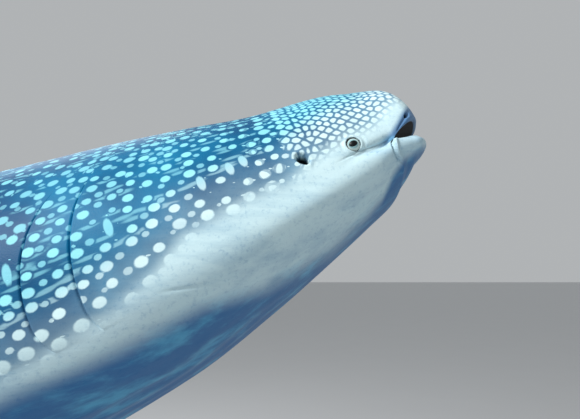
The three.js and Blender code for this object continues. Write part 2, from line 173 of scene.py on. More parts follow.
# how far the lower jaw's outline is set back, less towards the corner
def jawShift(s):
    return mouth["jawBack"] * (1 - smooth(s, 0, mouth["corner"]))


# lengthwise ridges: first and last place, angle there, height, extra keel height
ridges = [
    {"from": 10, "to": 43, "angles": (90, 90), "height": 0.20, "keel": 0},
    {"from": 15, "to": 66, "angles": (66, 60), "height": 0.16, "keel": 0},
    {"from": 15, "to": 70, "angles": (46, 38), "height": 0.18, "keel": 0},
    {"from": 17, "to": 79, "angles": (27, 3), "height": 0.24, "keel": 0.75},
]
ridgeShape = {"halfAngle": 5.0, "fade": 6.0, "keelAt": 74.0, "keelSpan": 5.0}


def ridgeHeight(s, angle):
    height = np.zeros(np.broadcast(s, angle).shape)
    for ridge in ridges:
        share = np.clip((s - ridge["from"]) / (ridge["to"] - ridge["from"]), 0, 1)
        centre = mix(*ridge["angles"], share)
        full = ridge["from"] + ridgeShape["fade"]
        fade = between(s, ridge["from"], full, ridge["to"] - ridgeShape["fade"], ridge["to"])
        keel = ridge["keel"] * bell(s - ridgeShape["keelAt"], ridgeShape["keelSpan"])
        height = height + (ridge["height"] * fade + keel) * bell(angle - centre, ridgeShape["halfAngle"])
    return height


def rounded(value):
    return np.sign(value) * np.abs(value) ** (2 / shark["squareness"])


# a point of the plain body on the right side, for arrays of place and angle
def sectionPoint(s, angle):
    a = np.radians(angle)
    half = halfWidth(s)
    tall = np.where(np.sin(a) > 0, riseAbove(s), fallBelow(s))
    crest = 1 + ridgeHeight(s, angle) / np.hypot(half, tall)
    y = -half * rounded(np.cos(a)) * crest
    z = level(s) + tall * rounded(np.sin(a)) * crest
    return np.stack([s + 0 * y, y, z], -1)


# side is 1 for the right flank and -1 for the left one
def surfaceSpot(s, angle, side):
    return sectionPoint(np.array(float(s)), np.array(float(angle))) * (1, side, 1)


def surfaceOut(s, angle, side):
    up = surfaceSpot(s, angle + 1.0, side) - surfaceSpot(s, angle - 1.0, side)
    out = np.array([0.0, -up[2] * side, up[1] * side])
    return out / np.linalg.norm(out)


# from the straight body to the banked one on its stand, in metres
def toWorld(points):
    s, y, z = points[..., 0], points[..., 1], points[..., 2]
    swing = np.maximum((s - shark["tailSwingStart"]) / (100 - shark["tailSwingStart"]), 0) ** 2
    a = math.radians(shark["noseUp"])
    x = -s * unit
    side = (y + shark["tailSwing"] * swing) * unit
    up = z * unit
    place = shark["snout"]
    return np.stack([
        place[0] + x * math.cos(a) - up * math.sin(a),
        place[1] + side,
        place[2] + x * math.sin(a) + up * math.cos(a),
    ], -1)


# from the photo: place on the shark's own scale, turn and tilt in degrees, lens in pixels
cameraView = {
    "place": (8.44, -21.39, -4.14),
    "turn": 0.2,
    "tilt": 9.46,
    "lensPixels": 414.5,
    "frameWidth": 580,
    "sensorWidth": 36.0,
    "nearest": 0.05,
    "farthest": 1000,
}


def makeCamera():
    data = bpy.data.cameras.new("camera")
    data.sensor_width = cameraView["sensorWidth"]
    data.lens = data.sensor_width * cameraView["lensPixels"] / cameraView["frameWidth"]
    data.clip_start = cameraView["nearest"]
    data.clip_end = cameraView["farthest"]
    camera = bpy.data.objects.new("camera", data)
    bpy.context.scene.collection.objects.link(camera)
    camera.location = Vector(toWorld(np.array(cameraView["place"])))
    camera.rotation_euler = (math.radians(90 + cameraView["tilt"]), 0, math.radians(cameraView["turn"]))
    bpy.context.scene.camera = camera


makeCamera()
print("camera set")

# The skin's grid: columns go once round the body from the belly line, rows run from inside the
# mouth over the lips and back to the tail.
grid = {
    "columns": 560,
    "crowding": 0.5,      # how much closer the columns lie on the flanks
    "headRows": 160,
    "headPower": 1.7,     # how much closer the head's rows lie towards the lips
    "liningRows": 16,
    "lipRows": 6,
    "gillStep": 0.095,
    "gillEnd": 22.5,
    "trunkStep": 0.19,
    "trunkEnd": 62,
    "tailStep": 0.16,
    "room": 0.05,         # no plain row is nearer than this to a fine one
}
gillSlits = {
    "places": (14.68, 16.36, 17.95, 19.4, 20.7),
    "bow": (1.1, 1.6, 1.5, 1.35, 1.1),
    "top": (35, 34, 33, 30, 26),
    "bottom": (-12, -12, -11, -9, -5),
    "level": 3.0,
    "bowSpan": 31.0,
    "bowAngles": (-28, 48),
    "bowAlong": (9.5, 14.2, 21.2, 29),
    "halfWidth": 0.034,
    "endWidth": 0.35,     # share of the width that is left at the ends
    "depth": 0.13,
    "flap": 0.06,
    "flapReach": 0.5,
    "behind": 0.03,       # the skin behind a slit lies lower
    "behindReach": 0.35,
    "shade": 0.15,
    "fineRows": (-0.26, -0.17, -0.11, -0.07, -0.035, 0.0, 0.035, 0.07, 0.11, 0.17, 0.26),
}


# how far a gill-region row bows forward at an angle
def rowBow(s, angle):
    bow = np.interp(s, gillSlits["places"], gillSlits["bow"]) * between(s, *gillSlits["bowAlong"])
    away = (np.clip(angle, *gillSlits["bowAngles"]) - gillSlits["level"]) / gillSlits["bowSpan"]
    return bow * away ** 2


# places along the lips, closest together at the front, where they are widest across
lipTable = np.concatenate([np.linspace(0, 0.05, 120), np.linspace(0.052, mouth["corner"], 900)])
lipReach = float(halfWidth(np.array(mouth["corner"])))


# where the lip lies that is this far out from the middle
def lipAt(angle):
    y = -lipReach * rounded(np.cos(np.radians(angle)))
    return np.interp(np.abs(y), halfWidth(lipTable), lipTable), y


# one row of the head, from the lips at t = 0 to the end of the head at t = 1
def headRow(angle, t, lower):
    lipS, lipY = lipAt(angle)
    travel = t ** grid["headPower"]
    s = lipS + (shark["headEnd"] - lipS) * travel
    half = halfWidth(s)
    # towards the corners a point stays on the widest line
    stick = (np.abs(lipY) / lipReach) ** 6
    spread = 1 + (half / np.maximum(np.abs(lipY), 0.4) - 1) * stick
    side = rounded(np.cos(np.radians(angle)))
    y = lipY * spread * (1 - travel) - half * side * travel
    ratio = np.clip(np.abs(y) / np.maximum(half, 1e-6), 0, 1)
    opened = gape(s) + lipRadius(s, lower) * (s < mouth["corner"])
    share = (1 - ratio ** shark["squareness"]) ** (1 / shark["squareness"])
    if lower:
        z = level(s) - opened - np.maximum(fallBelow(s) - opened, 0) * share
        s = s + jawShift(s)
    else:
        z = level(s) + opened + np.maximum(riseAbove(s) - opened * (s > 0.02), 0) * share
    return np.stack([s, y, z], -1)


# rows inside the mouth: the lip rolls inwards and the lining runs back to a closed end
def liningRows(angle, lower):
    lipS, lipY = lipAt(angle)
    away = -1 if lower else 1
    roll = lipRadius(lipS, lower)
    gap = gape(lipS) + roll
    if lower:
        lipS = lipS + jawShift(lipS)
    inwardS = mix(lipS, mouth["depth"], 0.5) - lipS
    inwardY = lipY * -mouth["aim"]
    length = np.hypot(inwardS, inwardY)
    base = level(lipS)
    rows = []
    for k in range(grid["lipRows"]):
        turn = math.pi * (k + 1) / grid["lipRows"] * mouth["lipRoll"]
        share = roll * (1 - math.cos(turn)) / length
        z = base + away * (gap - roll * math.sin(turn))
        rows.append(np.stack([lipS + inwardS * share, lipY + inwardY * share, z], -1))
    start = rows[-1]
    beside = (lipY / lipReach) ** 2
    for k in range(grid["liningRows"]):
        q = (k + 1) / grid["liningRows"]
        s = mix(start[..., 0], mouth["depth"] - mouth["liningBow"] * beside, q ** 0.9)
        y = mix(start[..., 1], lipY * mouth["liningWidth"], q)
        hollow = mouth["roof"] * math.sin(math.pi * q ** 0.8) * (1 - 0.6 * beside)
        closing = mix(start[..., 2] - base, mouth["liningGap"] * away, smooth(q, 0.3, 1.0))
        rows.append(np.stack([s, y, mix(base, level(s), q) + closing + away * hollow], -1))
    return rows


def trunkPlaces():
    places = list(np.arange(shark["headEnd"] + 0.1, grid["gillEnd"], grid["gillStep"]))
    places += list(np.arange(grid["gillEnd"], grid["trunkEnd"], grid["trunkStep"]))
    places += list(np.arange(grid["trunkEnd"], shark["tailEnd"] + 0.01, grid["tailStep"]))
    fine = [p + d for p in gillSlits["places"] for d in gillSlits["fineRows"]]
    plain = [p for p in places if min(abs(p - f) for f in fine) > grid["room"]]
    return np.array(sorted(plain + fine))


# ring angles by column: right side going up, left side coming down as the mirror of it
columnCount = grid["columns"]
ring = -90 + 360 * np.arange(columnCount) / columnCount
ring = ring - np.degrees(grid["crowding"] / 2 * np.sin(2 * np.radians(ring)))
onLeft = ring > 90
flankAngle = np.where(onLeft, 180 - ring, ring)
mirrorY = np.where(onLeft, -1.0, 1.0)
lowerHalf = (flankAngle < 0)[:, None]


def bodyGrid():
    rows = []
    places = []
    upperLining, lowerLining = (liningRows(flankAngle, lower) for lower in (False, True))
    for k in reversed(range(len(upperLining))):
        rows.append(np.where(lowerHalf, lowerLining[k], upperLining[k]))
        places.append(-0.5 - 0.02 * k)
    for k in range(grid["headRows"]):
        t = k / grid["headRows"]
        rows.append(np.where(lowerHalf, headRow(flankAngle, t, True), headRow(flankAngle, t, False)))
        places.append(shark["headEnd"] * t ** grid["headPower"])
    for s in [shark["headEnd"], *trunkPlaces()]:
        shifted = s - rowBow(np.full(columnCount, s), flankAngle)
        rows.append(sectionPoint(shifted, flankAngle))
        places.append(s)
    points = np.array(rows)
    points[..., 1] *= mirrorY
    return points, np.array(places)


points, rowPlace = bodyGrid()
lipRow = grid["liningRows"] + grid["lipRows"]
print("skin grid", points.shape)


# unit normals of a grid that closes round the body; outwards is down on the belly line, column 0
def gridNormals(p):
    alongRows = np.gradient(p, axis=0)
    roundRing = np.roll(p, -1, axis=1) - np.roll(p, 1, axis=1)
    normal = np.cross(roundRing, alongRows)
    normal /= np.maximum(np.linalg.norm(normal, axis=-1, keepdims=True), 1e-9)
    return normal if normal[-40, 0, 2] < 0 else -normal


# Fine forms. Each gives a push along the normal, in hundredths of the length, and a painted shade
# that darkens its hollows and creases. Three numbers for a bump are its height, the distance it lies at and
# its width.
normals = gridNormals(points)
gridS = points[..., 0]
gridRise = points[..., 2] - level(gridS)
outer = np.arange(len(rowPlace))[:, None] >= lipRow       # not inside the mouth

eyes = {
    "s": 4.38,
    "angle": 7.0,
    "radius": 0.31,
    "bulge": (0.05, 0, 0.55),           # of the clear front
    "sunk": 0.2,
    "opening": 0.26,                    # radius of the opening in the skin
    "wall": (-0.26, -0.1872),
    "cup": 0.34,                        # depth of the socket behind the ball
    "rim": (0.035, 0.3172, 0.06),
    "furrow": (-0.02, 0.455, 0.07),
    "swelling": (0.05, 0, 0.9),
    # painted shadow of the lid, a dark line at the opening's edge: strength, place, width
    "paintedShadowRing": (0.9, 0.2548, 0.035),
    "iris": 0.19,
    "pupil": (0.165, 0.12),             # half its length and height
}
spiracles = {
    "s": 6.3, "angle": 11.2, "long": 0.22, "tall": 0.27, "slant": 0.25, "reach": 1.0,
    "depth": 0.5, "edge": (-1.05, -0.7), "rim": (0.02, 1.3, 0.3),
}
nostrils = {
    "s": 1.9, "above": 0.27, "long": 0.13, "tall": 0.1, "depth": 0.2, "edge": (-1.2, -0.4), "shade": 0.8,
    "groove": (1.5, 1.95, 2.45, 2.7), "grooveEnd": 2.62, "grooveRise": (0.04, 0.34),
    "grooveWidth": 0.06, "grooveDepth": 0.06, "grooveShade": 0.35,
}


def bump(x, height, at, width):
    return height * bell(x - at, width)


def eyeSocket(side):
    d = np.linalg.norm(points - surfaceSpot(eyes["s"], eyes["angle"], side), axis=-1)
    cup = smooth(-d, *eyes["wall"])
    push = bump(d, *eyes["rim"]) + bump(d, *eyes["furrow"]) - eyes["cup"] * cup
    push += bump(d, *eyes["swelling"]) * (d > eyes["opening"])
    # painted shade in the socket and in a ring at its edge
    return push, cup + bump(d, *eyes["paintedShadowRing"])


# a slanted oval pit with a low rim, darkened inside by painted shade
def spiraclePit(side):
    off = points - surfaceSpot(spiracles["s"], spiracles["angle"], side)
    slanted = off[..., 0] - spiracles["slant"] * off[..., 2]
    e = np.hypot(slanted / spiracles["long"], off[..., 2] / spiracles["tall"])
    near = np.abs(off[..., 1]) < spiracles["reach"]
    pit = smooth(-e, *spiracles["edge"]) * near
    return bump(e, *spiracles["rim"]) * near - spiracles["depth"] * pit, pit


# the nostril lies in the groove over the upper lip; both are darkened by painted shade
def nostril():
    above = gridRise - gape(gridS)
    e = np.hypot((gridS - nostrils["s"]) / nostrils["long"], (above - nostrils["above"]) / nostrils["tall"])
    hole = smooth(-e, *nostrils["edge"]) * outer
    lowest, gain = nostrils["grooveRise"]
    lift = lowest + gain * np.clip(nostrils["grooveEnd"] - gridS, 0, 1.1) ** 1.2
    groove = bell(above - lift, nostrils["grooveWidth"]) * between(gridS, *nostrils["groove"])
    groove = groove * outer * (gridRise > 0)
    push = -nostrils["depth"] * hole - nostrils["grooveDepth"] * groove
    return push, nostrils["shade"] * hole + nostrils["grooveShade"] * groove


# Carries the mouth line back under the eye: a sharp crease, darkened by painted shade, over a wide
# valley, the cheek below. Pairs are the values at the front and at the back.
furrow = {
    "along": (2.8, 3.15, 4.3, 5.4),
    "rise": (0.10, 0.34), "riseAlong": (2.8, 4.6), "crease": (-0.05, 0, 0.035), "shade": (0.45, 0, 0.04),
    "valley": (0.24, 0.07), "valleyAlong": (2.9, 4.8), "valleyShape": (-1, -0.1, 0.21),
    "cheek": (0.10, -0.55, 0.42), "cheekAlong": (2.6, 4, 6, 10),
}


def furrowUnderEye():
    along = between(gridS, *furrow["along"]) * outer
    over = gridRise - mix(*furrow["rise"], smooth(gridS, *furrow["riseAlong"]))
    valley = mix(*furrow["valley"], smooth(gridS, *furrow["valleyAlong"]))
    valley = valley * bump(over, *furrow["valleyShape"])
    cheek = bump(gridRise, *furrow["cheek"]) * between(gridS, *furrow["cheekAlong"]) * outer
    return (bump(over, *furrow["crease"]) + valley) * along + cheek, bump(over, *furrow["shade"]) * along


# curves down from the corner of the mouth, darkened by painted shade, swollen in front, with a pale flap at
# its foot
cornerFold = {
    "s": 2.9, "curve": 0.13, "curveTall": 0.85, "down": (-0.02, 0.06, 0.72, 0.84),
    "depth": 0.10, "width": 0.045, "shade": 0.22,
    "swelling": (0.09, -0.13, 0.07), "swellingDown": (-0.02, 0.1, 0.7, 0.9),
    "flap": 0.07, "flapAt": (-0.02, 0.98), "flapSlant": 0.9, "flapSize": (0.10, 0.2),
    "flapEdge": (-1.3, -0.5),
}


def foldAtCorner():
    down = -gridRise
    curve = cornerFold["curve"] * np.sin(np.clip(down, 0, 1) * math.pi / cornerFold["curveTall"])
    past = gridS - cornerFold["s"] - curve
    fold = bell(past, cornerFold["width"]) * between(down, *cornerFold["down"]) * outer
    swelling = bump(past, *cornerFold["swelling"]) * between(down, *cornerFold["swellingDown"])
    ahead, below = cornerFold["flapAt"]
    wide, tall = cornerFold["flapSize"]
    flap = np.hypot((past - ahead) / wide, (below - down - cornerFold["flapSlant"] * past) / tall)
    flap = cornerFold["flap"] * smooth(-flap, *cornerFold["flapEdge"])
    return (swelling + flap) * outer - cornerFold["depth"] * fold, cornerFold["shade"] * fold


# the lower lip stands out over the jaw, and the jaw is drawn in below it
lowerLip = {"fade": 0.5, "swelling": (0.06, 0.1, 0.2), "drawnIn": 0.2, "drawnBelow": (0.3, 0.7, 1.2, 2.4)}


def rollOfLowerLip():
    below = np.clip(-gridRise - gape(gridS) - lipRadius(gridS, True), 0, 9)
    front = smooth(mouth["corner"] - gridS, 0, lowerLip["fade"]) * outer * (gridRise < 0)
    push = bump(below, *lowerLip["swelling"]) - lowerLip["drawnIn"] * between(below, *lowerLip["drawnBelow"])
    return push * front, 0


# gill slits: each a sharp fold with a raised flap in front, the slot darkened by painted shade
def gillSlit(k):
    top, bottom = gillSlits["top"][k], gillSlits["bottom"][k]
    share = (flankAngle - bottom) / (top - bottom)
    taper = np.sqrt(np.clip(1 - (2 * share - 1) ** 2, 0, 1))[None, :]
    d = rowPlace[:, None] - gillSlits["places"][k]
    slot = bell(d, gillSlits["halfWidth"] * mix(gillSlits["endWidth"], 1, taper)) * smooth(taper, 0.0, 0.5)
    flap = np.where(d < 0, np.exp(d / gillSlits["flapReach"]), 0) * (1 - slot)
    behind = np.where(d > 0, np.exp(-d / gillSlits["behindReach"]), 0)
    push = gillSlits["flap"] * flap - gillSlits["depth"] * slot - gillSlits["behind"] * behind
    return push * taper, gillSlits["shade"] * slot * taper


# loose skin: a slanted crease behind the jaw, darkened by painted shade, and long faint folds on the belly
looseSkin = {
    "creaseLevel": -5.084, "creaseSlope": 0.36, "creaseAlong": (9.2, 10, 11.8, 12.6), "creaseWidth": 0.05,
    "creaseDepth": 0.03, "creaseShade": 0.1,
    "foldRate": 5.2, "foldHeight": 0.035, "foldBelow": (2.0, 4.0), "foldAlong": (5, 9, 24, 34),
}


def creaseBehindJaw():
    over = gridRise - looseSkin["creaseLevel"] - looseSkin["creaseSlope"] * gridS
    crease = bell(over, looseSkin["creaseWidth"]) * between(gridS, *looseSkin["creaseAlong"])
    return -looseSkin["creaseDepth"] * crease, looseSkin["creaseShade"] * crease


def bellyFolds():
    wave = np.sin(points[..., 1] * looseSkin["foldRate"] + 0.9 * np.sin(gridS * 0.8))
    wave = wave * smooth(-gridRise, *looseSkin["foldBelow"]) * between(gridS, *looseSkin["foldAlong"])
    return looseSkin["foldHeight"] * wave, 0


forms = [form(side) for side in (1, -1) for form in (eyeSocket, spiraclePit)]
forms += [nostril(), furrowUnderEye(), foldAtCorner(), rollOfLowerLip()]
forms += [gillSlit(k) for k in range(len(gillSlits["places"]))]
forms += [creaseBehindJaw(), bellyFolds()]
push = sum(form[0] for form in forms)
shade = sum(form[1] for form in forms)
# painted shade fills the inside of the mouth
shade[:lipRow - 4] = np.maximum(shade[:lipRow - 4], 1)      # the mouth is dark inside
points = points + normals * push[..., None]
print("head and gill forms pressed in")

# Spots. Seeds lie in columns round the body; each is a spot, and the nearest two seeds of a
# point give the spot it is in and the dark line between cells. A radius is a share of the spacing;
# pairs are the values of the head's cells and of the flank's spots.
spots = {
    "seed": 11,
    "from": 0.15,
    "to": 83,
    "along": (0.37, 0.84, 1.5),       # spacing on the head, at the gills and on the trunk
    "across": (0.36, 0.62, 1.1),
    "toGills": (4.6, 9.5),
    "toTrunk": (16, 34),
    "columnStep": (0.87, 0.5),        # share of the spacing from one column to the next
    "columnChange": 7,
    "jitter": 0.1,
    "stretch": 1.22,      # spots are longer along the body than across it
    "toFlank": (5.2, 8.5),
    "big": (0.56, 0.235),
    "little": (0.50, 0.17),
    "sizes": (0.85, 1.12),
    "lowRow": 0.3,        # how much larger the big spots of the lowest row are
    "lowRowAbove": 0.1,
    "lowRowWidth": 0.45,
    "littleTone": 0.65,
    "tones": (0.8, 1.0),
    "topTone": 0.7,
    "topFade": (2.0, 5.5),
    "apartFrom": 6.5,     # from here back no two spots touch
    "apart": 1.25,
    "least": 0.06,
    "gone": 0.001,
    "finStep": 1.0,
    "finRadius": 0.2,
    "finLittle": 0.6,
    "finSizes": (0.8, 1.15),
    "finTones": (0.6, 0.9),
}
# upright bars on both flanks: place and angle
barPlaces = ((8.26, 20.5), (8.8, 19.5), (9.9, 18.0), (13.2, 15.2), (16.6, 13.0), (19.0, 11.0))
barShape = {"stretch": 3.2, "room": 0.42}
# faint dashes along the body between the rows of spots
dashes = {"count": 2200, "from": 6.5, "to": 80, "above": 1.3, "stretch": 7.0}
# lower edge of the pattern: place, and height above the widest line
patternEdge = np.array([
    (0, 1.3), (2.2, 1.15), (3.3, 0.8), (4.4, 1.0), (5.6, 0.85), (7.2, 0.5), (8.8, 0.75), (11, 0.65),
    (12.4, -0.1), (14, -0.5), (16, -0.85), (19, -1.25), (26, -2.4), (40, -2.6), (60, -1.6),
    (76, -0.9), (90, -0.9),
])
rng = np.random.default_rng(spots["seed"])


def heightOf(line, s):
    return np.interp(s, line[:, 0], line[:, 1])


def aboveEdge(p):
    return p[..., 2] - level(p[..., 0]) - heightOf(patternEdge, p[..., 0])


def spacing(s, kind):
    head, gills, trunk = spots[kind]
    return mix(mix(head, gills, smooth(s, *spots["toGills"])), trunk, smooth(s, *spots["toTrunk"]))


# distance round the body from the middle of the back, by row and column; the last column closes it
def arcFromBack(p):
    closed = np.concatenate([p, p[:, :1]], axis=1)
    steps = np.linalg.norm(np.diff(closed, axis=1), axis=-1)
    arc = np.concatenate([np.zeros((len(p), 1)), np.cumsum(steps, axis=1)], axis=1)
    return arc - arc[:, columnCount // 2:columnCount // 2 + 1]


arc = arcFromBack(points)


def rowAt(s):
    return min(int(np.searchsorted(rowPlace[lipRow:], s)) + lipRow, len(rowPlace) - 1)


# a seed is its point, 1 for a little spot and 0 for a big one, and two numbers for size and tone
def layCells():
    seeds = []
    s = spots["from"]
    number = 0
    while s < spots["to"]:
        row = rowAt(s)
        step = spacing(s, "across")
        reach = float(arc[row, -1])
        count = int(reach / step) + 1
        half = 0.5 if number % 2 else 0.0
        for k in range(-count, count + 1):
            at = (k + half) * step + rng.normal() * spots["jitter"] * step
            wobble = rng.normal() * spots["jitter"] * spacing(s, "along")
            if abs(at) > reach:
                continue
            column = min(int(np.searchsorted(arc[row], at)), columnCount - 1)
            p = points[rowAt(s + wobble), column]
            seeds.append((*p, number % 2, rng.random(), rng.random()))
        s += spacing(s, "along") * spots["columnStep"][1 if s > spots["columnChange"] else 0]
        number += 1
    return np.array(seeds)


seeds = layCells()
print("cells laid", len(seeds))


def layDashes():
    first, last = (int(np.searchsorted(rowPlace, dashes[end])) for end in ("from", "to"))
    rows = rng.integers(first, last, dashes["count"])
    columns = rng.integers(columnCount // 4, columnCount - columnCount // 4, dashes["count"])
    laid = points[rows, columns]
    return laid[aboveEdge(laid) > dashes["above"]]


dashSeeds = layDashes()
bars = np.array([surfaceSpot(*place, side) for side in (1, -1) for place in barPlaces])


def treeOf(places):
    tree = KDTree(len(places))
    for k, co in enumerate(places):
        tree.insert(co, k)
    tree.balance()
    return tree


# where two spots would touch, the smaller one shrinks, or goes
def keepApart(seeds, radius, where):
    tree = treeOf(seeds[:, :3])
    radius = radius.copy()
    for k in np.argsort(radius):
        if not where[k]:
            continue
        for _, other, distance in tree.find_range(seeds[k, :3], 1.0):
            if radius[other] <= radius[k] or other == k:
                continue
            room = distance - spots["apart"] * radius[other]
            radius[k] = min(radius[k], max(room, 0.0))
        if radius[k] < spots["least"]:
            radius[k] = spots["gone"]
    return radius


# each seed's spot radius and brightness
def dressCells(seeds):
    s = seeds[:, 0]
    small = seeds[:, 3] > 0.5
    flank = smooth(s, *spots["toFlank"])
    share = np.where(small, mix(*spots["little"], flank), mix(*spots["big"], flank))
    radius = share * (spacing(s, "along") + spacing(s, "across")) / 2 * mix(*spots["sizes"], seeds[:, 4])
    above = aboveEdge(seeds)
    radius *= 1 + spots["lowRow"] * bell(above - spots["lowRowAbove"], spots["lowRowWidth"]) * ~small
    nearBar = np.array([np.linalg.norm((bars - co) * (1, 1, 0.5), axis=-1).min() for co in seeds[:, :3]])
    radius = np.where(nearBar < barShape["room"], spots["gone"], radius)
    tone = np.where(small, mix(1.0, spots["littleTone"], flank), 1.0) * mix(*spots["tones"], seeds[:, 5])
    tone *= mix(1.0, spots["topTone"], smooth(above, *spots["topFade"]) * flank)
    return keepApart(seeds, radius, s > spots["apartFrom"]), tone


spotRadius, spotTone = dressCells(seeds)


# at each point: its distance from a spot's middle in radii, that spot's tone, and how much farther
# the next seed is than the nearest one
def spotFields(p, seeds, radius, tone):
    scale = np.array([1 / spots["stretch"], 1.0, 1.0])
    tree = treeOf(seeds[:, :3] * scale)
    flat = p.reshape(-1, 3) * scale
    fields = np.empty((3, len(flat)))
    for i, co in enumerate(flat):
        found = tree.find_n(co, 3)
        best = min(found, key=lambda f: f[2] / radius[f[1]])
        fields[:, i] = best[2] / radius[best[1]], tone[best[1]], found[1][2] - found[0][2]
    return fields.reshape(3, *p.shape[:-1])


def nearest(p, places, scale):
    tree = treeOf(places * scale)
    flat = p.reshape(-1, 3) * scale
    return np.array([tree.find(co)[2] for co in flat]).reshape(p.shape[:-1])


# Fins: place and angle of the root, the angle it stands out at, then backwards and outwards from
# there; a pair of fins has a map patch for each, the right one first.
fins = {
    "dorsal_fin_first": {
        "s": 43.5, "angle": 90, "out": 90, "base": 9.0, "tip": (9.6, 8.6), "rear": (12.2, 0.9),
        "front": (3.4, 6.9), "back": (8.6, 3.6), "thick": 0.62, "sink": 2.2, "drop": 1.35,
        "patches": ((0.48, 0.74, 0.13, 0.25),),
    },
    "dorsal_fin_second": {
        "s": 64.5, "angle": 90, "out": 90, "base": 4.0, "tip": (4.8, 3.4), "rear": (6.3, 0.5),
        "front": (1.7, 2.8), "back": (4.3, 1.4), "thick": 0.3, "sink": 1.2, "drop": 0.55,
        "patches": ((0.88, 0.74, 0.05, 0.12),),
    },
    "anal_fin": {
        "s": 67.0, "angle": -90, "out": -90, "base": 3.6, "tip": (4.7, 3.3), "rear": (5.8, 0.5),
        "front": (1.6, 2.7), "back": (4.0, 1.4), "thick": 0.28, "sink": 1.0, "drop": 0.45,
        "patches": ((0.88, 0.87, 0.05, 0.12),),
    },
    "pectoral_fin": {
        "s": 20.6, "angle": -38, "out": -24, "base": 6.6, "tip": (11.4, 15.2), "rear": (9.8, 2.3),
        "front": (3.8, 9.4), "back": (7.4, 7.6), "thick": 0.5, "sink": 2.6, "drop": -0.2,
        "patches": ((0.14, 0.74, 0.16, 0.25), (0.31, 0.74, 0.16, 0.25)), "paleUnder": 0.9,
    },
    "pelvic_fin": {
        "s": 50.0, "angle": -52, "out": -38, "base": 4.0, "tip": (5.0, 4.8), "rear": (6.9, 1.1),
        "front": (1.6, 3.8), "back": (5.0, 2.5), "thick": 0.3, "sink": 1.6, "drop": 0.45,
        "patches": ((0.94, 0.74, 0.05, 0.12), (0.94, 0.87, 0.05, 0.12)), "paleUnder": 0.7,
    },
}
# the tail fin's lobes, as place and height on the body
lobes = {
    "upper": {
        "root": (75.4, 1.6), "tip": (98.8, 18.6), "front": (85.6, 10.6), "fork": (84.6, -0.8),
        "back": (88.6, 5.0), "thick": 0.5, "patch": (0.62, 0.74, 0.15, 0.25),
    },
    "lower": {
        "root": (75.6, -1.2), "tip": (86.8, -11.6), "front": (80.2, -7.4), "fork": (84.1, 0.1),
        "back": (82.9, -5.2), "thick": 0.42, "patch": (0.78, 0.74, 0.09, 0.25),
    },
}
finGrid = {
    "across": 48,
    "along": 110,
    "thinEdge": 0.035,
    "leastEdge": 0.004,
    "fillet": 0.55,       # extra thickness at the root
    "thinning": 0.85,     # share of the thickness lost towards the tip
    "lobeThinning": 0.8,
}


# a curve from a to c that bends towards b, as backwards and outwards
def edgeCurve(a, b, c, t):
    a, b, c = (np.array(end, float)[:, None] for end in (a, b, c))
    return mix(mix(a, b, t), mix(b, c, t), t)


# closed rings of a fin between its front and back edge points
def finRings(front, back, across, thick):
    c = (1 - np.cos(np.linspace(0, math.pi, finGrid["across"]))) / 2
    shape = 2.6 * np.sqrt(c) * np.maximum(1 - c, 0) ** 1.1 * (1 - 0.25 * c)
    edge = finGrid["thinEdge"] * np.sqrt(np.clip(4 * c * (1 - c), 0, 1)) + finGrid["leastEdge"]
    half = np.maximum(thick[:, None] * shape, edge)
    spine = front[:, None] + (back - front)[:, None] * c[None, :, None]
    top = spine + across * half[..., None]
    under = spine - across * half[..., None]
    return np.concatenate([top, under[:, ::-1]], axis=1)


def finPoints(fin):
    anchor = surfaceSpot(fin["s"], fin["angle"], 1)
    lean = math.radians(fin["out"])
    out = np.array([0, -math.cos(lean), math.sin(lean)])
    across = np.array([0, math.sin(lean), math.cos(lean)])
    slope = np.array([fin["base"], 0, 0]) - out * fin["drop"]
    slope /= np.linalg.norm(slope)

    def at(backwards, up):
        return anchor + slope * np.asarray(backwards)[..., None] + out * np.asarray(up)[..., None]

    v = np.linspace(0, 1, finGrid["along"])
    front = edgeCurve((0, 0.02), fin["front"], fin["tip"], mix(0.04, 0.985, v))
    back = edgeCurve(fin["rear"], fin["back"], fin["tip"], v * 0.97)
    # three more rings carry the root down into the body
    sunk = [-fin["sink"], -fin["sink"] / 2]
    rootFront = at([0.1, 0.05, 0.02], [*sunk, 0.0])
    rootBack = at([fin["base"] - 0.1, fin["base"] - 0.05, fin["base"]], [*sunk, 0.1 * fin["rear"][1]])
    height = np.concatenate([[*sunk, 0], front[1]])
    thick = np.concatenate([np.full(3, fin["thick"]), fin["thick"] * (1 - finGrid["thinning"] * v)])
    thick = thick * (1 + finGrid["fillet"] * np.exp(-np.maximum(height, 0) / (0.6 * fin["thick"] + 0.15)))
    frontEdge = np.concatenate([rootFront, at(*front)])
    return finRings(frontEdge, np.concatenate([rootBack, at(*back)]), across, thick)


def lobePoints(lobe):
    v = np.linspace(0, 1, finGrid["along"])
    front = edgeCurve(lobe["root"], lobe["front"], lobe["tip"], v * 0.99)
    back = edgeCurve(lobe["fork"], lobe["back"], lobe["tip"], v * 0.96)
    front, back = (np.stack([edge[0], 0 * v, edge[1]], -1) for edge in (front, back))
    return finRings(front, back, np.array([0, 1, 0]), lobe["thick"] * (1 - finGrid["lobeThinning"] * v))


